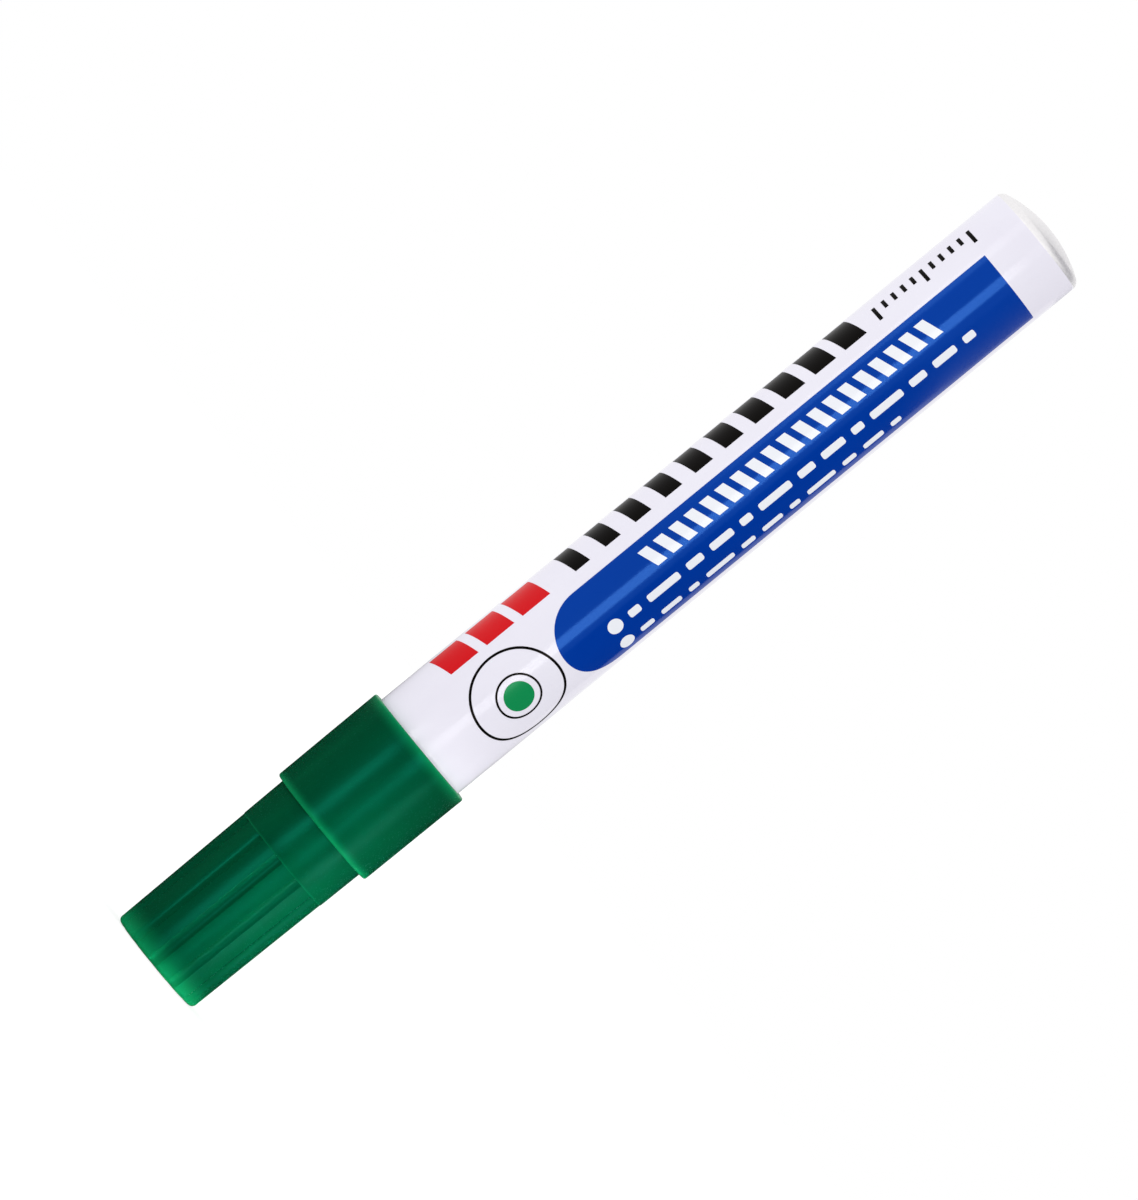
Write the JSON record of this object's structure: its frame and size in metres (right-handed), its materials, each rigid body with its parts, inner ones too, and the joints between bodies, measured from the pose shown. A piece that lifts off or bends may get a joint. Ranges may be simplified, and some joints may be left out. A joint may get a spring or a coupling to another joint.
{
  "type": "permanent marker",
  "caption": "Round permanent marker with a white lacquered aluminium barrel, a bullet nib and a fluted green cap that pulls off.",
  "frame": {"origin": "centre of the cap's flat end, on which the marker stands", "axes": "+Z along the marker's axis from the cap's end to the domed tail, -Y towards the printed side that faces the viewer"},
  "size_m": [0.0164, 0.0164, 0.1379],
  "materials": {
    "cap_shell": "moulded polypropylene, slightly translucent green, soft gloss",
    "inner_cap": "soft natural polyethylene",
    "barrel": "white gloss lacquer on extruded aluminium, bare satin tail",
    "nib_holder": "moulded natural polypropylene",
    "nib": "bonded polyester fibre wet with green ink",
    "ink_reservoir": "fibre bundle soaked with green ink",
    "reservoir_film": "thin clear polypropylene film"
  },
  "bodies": {
    "cap": {"cap_shell": "cap_shell", "inner_cap": "inner_cap"},
    "pen": {"barrel": "barrel", "nib_holder": "nib_holder", "nib": "nib", "ink_reservoir": "ink_reservoir", "reservoir_film": "reservoir_film"}
  },
  "joints": [
    {"name": "cap_pull", "type": "slide", "parent": "cap", "child": "pen", "axis": [0, 0, 1], "range_m": [0, 0.045]}
  ]
}
